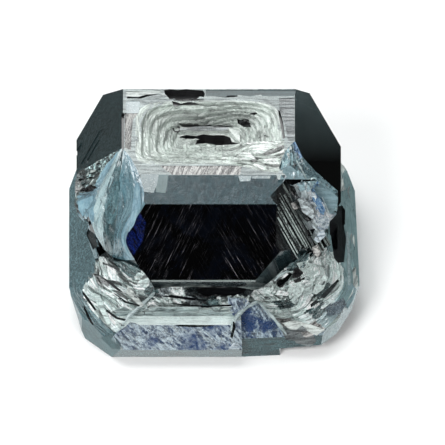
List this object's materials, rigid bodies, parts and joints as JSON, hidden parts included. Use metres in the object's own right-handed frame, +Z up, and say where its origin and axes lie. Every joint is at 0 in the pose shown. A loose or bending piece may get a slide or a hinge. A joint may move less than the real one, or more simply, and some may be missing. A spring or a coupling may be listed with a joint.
{
  "type": "rough lab-grown diamond",
  "caption": "Rough lab-grown diamond crystal: a faceted block with a sunken stepped top, grown on a wider stepped skirt, resting on its flat base.",
  "frame": {"origin": "centre of the bounding box on the plane of the flat base", "axes": "+Z up from the base to the stepped top face; -Y is the front, the side of the large black face; +X to the right as the front is looked at"},
  "size_m": [0.0096, 0.0098, 0.0053],
  "materials": {
    "diamond": "glossy"
  },
  "bodies": {
    "root": {"diamond_crystal": "diamond"}
  },
  "joints": []
}
